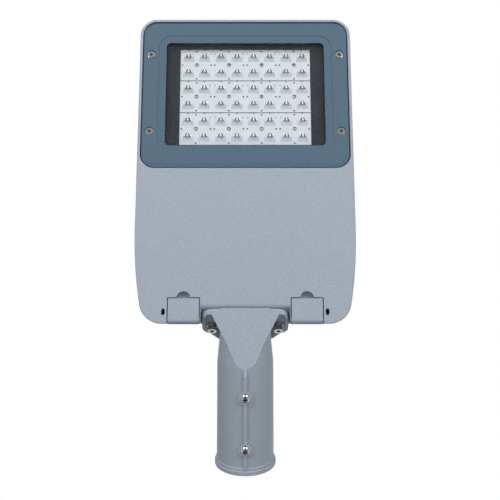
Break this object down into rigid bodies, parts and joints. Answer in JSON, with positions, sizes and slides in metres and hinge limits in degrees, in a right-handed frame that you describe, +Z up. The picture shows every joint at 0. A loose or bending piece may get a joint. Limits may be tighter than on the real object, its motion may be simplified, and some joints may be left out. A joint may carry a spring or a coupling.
{
  "type": "led street light head",
  "caption": "Flat LED street light head with a lens window, a hinged lid over the driver bay, two latch flaps and a tilted pole spigot.",
  "frame": {"origin": "middle of the spigot's mouth, where the pole's arm goes in", "axes": "+Y from the pole to the front of the head, parallel to the light face; +Z up, away from the light; the light points to -Z"},
  "size_m": [0.3214, 0.682, 0.137],
  "materials": {
    "housing_paint": "fine-textured light grey-blue powder coat on die-cast aluminium",
    "frame_paint": "darker blue-grey powder coat on die-cast aluminium",
    "window_glass": "clear tempered glass",
    "gasket_rubber": "matte black silicone rubber",
    "mask_plastic": "dark grey matte plastic",
    "board_lacquer": "white solder lacquer on an aluminium board",
    "diode_phosphor": "yellow phosphor in silicone",
    "lens_plastic": "moulded acrylic lens",
    "tray_steel": "zinc-plated sheet steel",
    "driver_case": "pale grey lacquered aluminium case",
    "terminal_plastic": "off-white polyamide",
    "surge_plastic": "black plastic",
    "gland_nylon": "black polyamide",
    "zinc_steel": "zinc-plated or stainless steel"
  },
  "bodies": {
    "head": {"cable_gland": "gland_nylon", "clamp_screw_front": "zinc_steel", "clamp_screw_rear": "zinc_steel", "driver_screws": "zinc_steel", "flange_bolts": "zinc_steel", "flat_washers": "zinc_steel", "frame_gasket": "gasket_rubber", "frame_screws": "zinc_steel", "gear_tray": "tray_steel", "heat_sink": "housing_paint", "housing": "housing_paint", "latch_pin_left": "zinc_steel", "latch_pin_right": "zinc_steel", "led_board_front": "board_lacquer", "led_board_middle": "board_lacquer", "led_board_rear": "board_lacquer", "led_chips_front": "diode_phosphor", "led_chips_middle": "diode_phosphor", "led_chips_rear": "diode_phosphor", "led_driver": "driver_case", "lens_block_front_1": "lens_plastic", "lens_block_front_2": "lens_plastic", "lens_block_front_3": "lens_plastic", "lens_block_front_4": "lens_plastic", "lens_block_middle_1": "lens_plastic", "lens_block_middle_2": "lens_plastic", "lens_block_middle_3": "lens_plastic", "lens_block_middle_4": "lens_plastic", "lens_block_rear_1": "lens_plastic", "lens_block_rear_2": "lens_plastic", "lens_block_rear_3": "lens_plastic", "lens_block_rear_4": "lens_plastic", "lid_gasket": "gasket_rubber", "lid_hinge_pin_left": "zinc_steel", "lid_hinge_pin_right": "zinc_steel", "mask_plate": "mask_plastic", "module_screws": "zinc_steel", "sink_screws": "zinc_steel", "spigot_arm": "housing_paint", "spigot_gasket": "gasket_rubber", "spring_washers": "zinc_steel", "surge_protector": "surge_plastic", "terminal_block": "terminal_plastic", "tray_screws": "zinc_steel", "window_frame": "frame_paint", "window_glass": "window_glass"},
    "top_lid": {"top_lid": "housing_paint"},
    "latch_left": {"latch_left": "housing_paint"},
    "latch_right": {"latch_right": "housing_paint"}
  },
  "joints": [
    {"name": "lid_hinge", "type": "hinge", "parent": "head", "child": "top_lid", "pos_m": [0, 0.41825, -0.02498], "axis": [-1, 0, 0], "range_deg": [0, 75]},
    {"name": "latch_left_hinge", "type": "hinge", "parent": "head", "child": "latch_left", "pos_m": [0.0881, 0.20425, -0.08798], "axis": [-1, 0, 0], "range_deg": [0, 30]},
    {"name": "latch_right_hinge", "type": "hinge", "parent": "head", "child": "latch_right", "pos_m": [-0.0881, 0.20425, -0.08798], "axis": [-1, 0, 0], "range_deg": [0, 30]}
  ]
}
